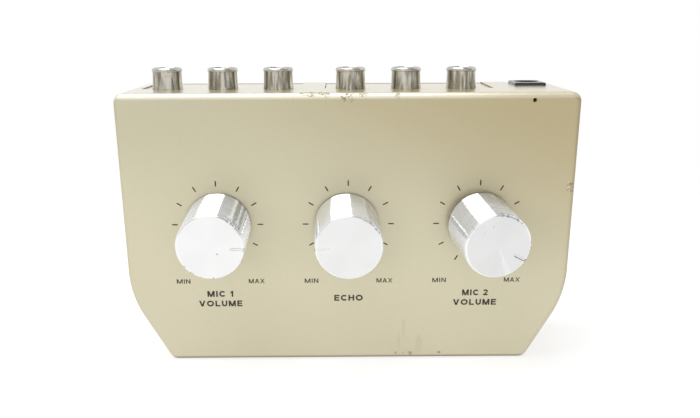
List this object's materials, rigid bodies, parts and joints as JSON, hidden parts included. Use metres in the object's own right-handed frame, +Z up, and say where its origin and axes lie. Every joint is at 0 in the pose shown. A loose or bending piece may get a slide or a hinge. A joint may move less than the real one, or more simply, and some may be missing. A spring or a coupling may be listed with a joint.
{
  "type": "karaoke microphone mixer",
  "caption": "Small wedge-shaped microphone and echo mixer box in pale gold plastic, with turned aluminium rotary knobs on its panel and phono and power sockets on top.",
  "frame": {"origin": "middle of the foot of the bounding box; the box stands on its lower face", "axes": "+X to the viewer's right, +Y from the control panel to the back cover, +Z up towards the sockets"},
  "size_m": [0.1224, 0.0582, 0.0825],
  "materials": {
    "case_paint": "satin champagne paint on moulded plastic",
    "turned_aluminium": "turned face, polished side",
    "plated_sleeve": "bright nickel plate",
    "insert_red": "moulded",
    "insert_white": "moulded",
    "insert_yellow": "moulded",
    "contact_metal": "tinned spring brass",
    "black_plastic": "moulded",
    "rubber_black": "matt",
    "board_green": "solder mask on glass laminate",
    "cable_grey": "flat ribbon",
    "steel": "zinc plated",
    "lamp_clear": "clear green resin"
  },
  "bodies": {
    "case": {"front_shell": "case_paint", "back_cover": "case_paint", "phono_sleeve_1": "plated_sleeve", "phono_sleeve_2": "plated_sleeve", "phono_sleeve_3": "plated_sleeve", "phono_sleeve_4": "plated_sleeve", "phono_sleeve_5": "plated_sleeve", "phono_sleeve_6": "plated_sleeve", "phono_insert_1": "insert_red", "phono_insert_4": "insert_red", "phono_insert_2": "insert_white", "phono_insert_5": "insert_white", "phono_insert_3": "insert_yellow", "phono_insert_6": "insert_yellow", "phono_contact_1": "contact_metal", "phono_contact_2": "contact_metal", "phono_contact_3": "contact_metal", "phono_contact_4": "contact_metal", "phono_contact_5": "contact_metal", "phono_contact_6": "contact_metal", "mic_contact_1": "contact_metal", "mic_contact_2": "contact_metal", "power_pin": "contact_metal", "power_socket": "black_plastic", "phono_block_left": "black_plastic", "phono_block_right": "black_plastic", "mic_jack_1": "black_plastic", "mic_jack_2": "black_plastic", "echo_chip": "black_plastic", "preamp_chip": "black_plastic", "voltage_regulator": "black_plastic", "capacitors": "black_plastic", "rubber_feet": "rubber_black", "main_board": "board_green", "control_board": "board_green", "board_cable": "cable_grey", "case_screws": "steel", "board_screws": "steel", "pot_nut_1": "steel", "pot_nut_2": "steel", "pot_nut_3": "steel", "pot_washer_1": "steel", "pot_washer_2": "steel", "pot_washer_3": "steel", "pot_body_1": "steel", "pot_body_2": "steel", "pot_body_3": "steel", "power_lamp": "lamp_clear"},
    "knob_1": {"knob_cap_1": "turned_aluminium", "knob_core_1": "black_plastic", "pot_shaft_1": "steel"},
    "knob_2": {"knob_cap_2": "turned_aluminium", "knob_core_2": "black_plastic", "pot_shaft_2": "steel"},
    "knob_3": {"knob_cap_3": "turned_aluminium", "knob_core_3": "black_plastic", "pot_shaft_3": "steel"}
  },
  "joints": [
    {"name": "knob_1_turn", "type": "hinge", "parent": "case", "child": "knob_1", "pos_m": [-0.03556, -0.01011, 0.0409], "axis": [0, -0.9928, -0.1196], "range_deg": [-57, 243]},
    {"name": "knob_2_turn", "type": "hinge", "parent": "case", "child": "knob_2", "pos_m": [0, -0.01011, 0.0409], "axis": [0, -0.9928, -0.1196], "range_deg": [-240, 60]},
    {"name": "knob_3_turn", "type": "hinge", "parent": "case", "child": "knob_3", "pos_m": [0.03556, -0.01011, 0.0409], "axis": [0, -0.9928, -0.1196], "range_deg": [-30, 270]}
  ]
}
